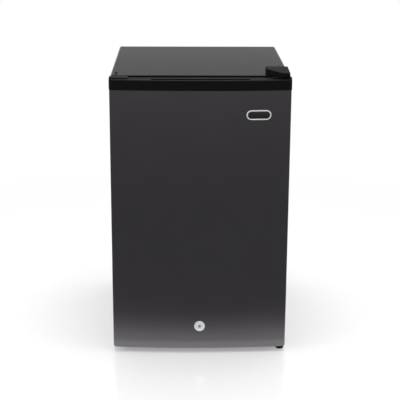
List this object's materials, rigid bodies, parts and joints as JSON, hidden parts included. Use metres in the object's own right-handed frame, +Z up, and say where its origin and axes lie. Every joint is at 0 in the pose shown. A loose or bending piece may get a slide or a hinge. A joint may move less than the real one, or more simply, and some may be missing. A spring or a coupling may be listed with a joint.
{
  "type": "mini fridge",
  "caption": "Compact upright refrigerator with a bowed, lockable, right-hinged door, top finger pull, glass shelves, door bins and a wire condenser.",
  "frame": {"origin": "on the floor under the middle of the whole appliance", "axes": "+Z up, -Y the way the door faces, +X towards the hinge side"},
  "size_m": [0.51, 0.586, 0.8379],
  "materials": {
    "black_painted_steel": "satin",
    "charcoal_door_steel": "satin",
    "galvanised_steel": "satin",
    "charcoal_painted_abs": "gloss",
    "black_abs": "satin",
    "white_liner_plastic": "gloss",
    "clear_bin_plastic": "gloss",
    "shelf_glass": "gloss",
    "polyurethane_foam": "matte",
    "grey_gasket_vinyl": "matte",
    "ferrite_strip": "matte",
    "evaporator_aluminium": "satin",
    "zinc_plated_steel": "satin",
    "acetal": "satin",
    "chromed_zinc": "polished",
    "satin_chromed_brass": "satin",
    "badge_enamel": "gloss",
    "black_enamelled_steel": "gloss",
    "condenser_paint": "matte",
    "copper": "satin",
    "black_rubber": "matte"
  },
  "bodies": {
    "cabinet": {"cabinet_shell": "black_painted_steel", "hole_plugs": "black_abs", "front_rail": "black_painted_steel", "base_pan": "galvanised_steel", "back_panel": "galvanised_steel", "niche_panel": "galvanised_steel", "cabinet_foam": "polyurethane_foam", "inner_liner": "white_liner_plastic", "glass_shelves": "shelf_glass", "shelf_front_trims": "white_liner_plastic", "shelf_rear_stops": "white_liner_plastic", "evaporator_plate": "evaporator_aluminium", "drain_trough": "white_liner_plastic", "drain_tube": "white_liner_plastic", "thermostat_case": "white_liner_plastic", "thermostat_switch": "acetal", "upper_hinge": "zinc_plated_steel", "hinge_cover": "black_abs", "lower_hinge": "zinc_plated_steel", "pan_head_screws": "zinc_plated_steel", "lock_keeper": "galvanised_steel", "compressor_base": "galvanised_steel", "cord_gland": "black_rubber", "compressor": "black_enamelled_steel", "compressor_mount": "galvanised_steel", "compressor_grommets": "black_rubber", "compressor_bolts": "zinc_plated_steel", "relay_cover": "black_abs", "evaporation_tray": "white_liner_plastic", "condenser_tube": "condenser_paint", "condenser_wires": "condenser_paint", "condenser_clips": "black_abs", "copper_pipes": "copper", "filter_drier": "copper", "rear_feet": "black_abs"},
    "door": {"door_skin": "charcoal_door_steel", "door_top_cap": "black_abs", "door_bottom_cap": "charcoal_painted_abs", "door_foam": "polyurethane_foam", "door_inner_panel": "white_liner_plastic", "door_gasket": "grey_gasket_vinyl", "gasket_magnets": "ferrite_strip", "bottle_bin": "clear_bin_plastic", "middle_bin": "clear_bin_plastic", "upper_bin": "clear_bin_plastic", "upper_bushing": "acetal", "lower_bushing": "acetal", "cap_plug": "black_abs", "lock_barrel": "chromed_zinc", "lock_nut": "zinc_plated_steel", "badge_rim": "chromed_zinc", "badge_field": "badge_enamel"},
    "lock": {"lock_plug": "satin_chromed_brass", "lock_cam": "zinc_plated_steel", "lock_cam_screw": "zinc_plated_steel"},
    "thermostat_dial": {"thermostat_knob": "white_liner_plastic"},
    "left_levelling_foot": {"left_foot": "black_abs"},
    "right_levelling_foot": {"right_foot": "black_abs"}
  },
  "joints": [
    {"name": "door_hinge", "type": "hinge", "parent": "cabinet", "child": "door", "pos_m": [0.24, -0.25, 0.41], "axis": [0, 0, 1], "range_deg": [0, 105]},
    {"name": "lock_turn", "type": "hinge", "parent": "door", "child": "lock", "pos_m": [0, -0.26, 0.087], "axis": [0, 1, 0], "range_deg": [0, 90]},
    {"name": "thermostat_turn", "type": "hinge", "parent": "cabinet", "child": "thermostat_dial", "pos_m": [0.17, -0.026, 0.719], "axis": [-1, 0, 0], "range_deg": [0, 300]},
    {"name": "left_foot_screw", "type": "slide", "parent": "cabinet", "child": "left_levelling_foot", "axis": [0, 0, 1], "range_m": [-0.004, 0]},
    {"name": "right_foot_screw", "type": "slide", "parent": "cabinet", "child": "right_levelling_foot", "axis": [0, 0, 1], "range_m": [-0.004, 0]}
  ]
}
